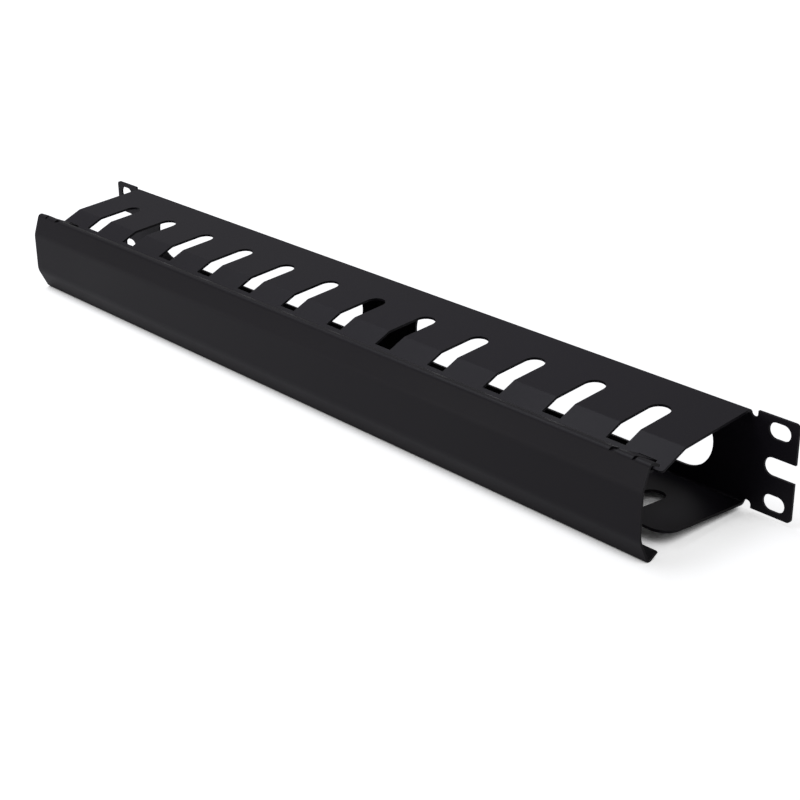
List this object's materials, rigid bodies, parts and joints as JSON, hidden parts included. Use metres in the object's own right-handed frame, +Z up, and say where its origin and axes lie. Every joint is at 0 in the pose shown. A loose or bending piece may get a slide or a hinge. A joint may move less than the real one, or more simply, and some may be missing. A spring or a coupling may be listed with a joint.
{
  "type": "horizontal cable manager",
  "caption": "Black steel horizontal cable manager for a 19-inch rack: slotted finger duct with rear windows, rack ears and a hook-hinged front cover.",
  "frame": {"origin": "centre of the rear mounting face, the plane of the ears that bears on the rack's rails", "axes": "+X to the right along the panel, +Y to the back of the rack, +Z up"},
  "size_m": [0.4826, 0.0708, 0.0452],
  "materials": {
    "body_coat": "fine black powder coat, low sheen",
    "cover_coat": "fine black powder coat, low sheen"
  },
  "bodies": {
    "body": {"body": "body_coat"},
    "cover": {"cover": "cover_coat"}
  },
  "joints": [
    {"name": "cover_hinge", "type": "hinge", "parent": "body", "child": "cover", "pos_m": [0, -0.05484, 0.01166], "axis": [-1, 0, 0], "range_deg": [0, 50]}
  ]
}
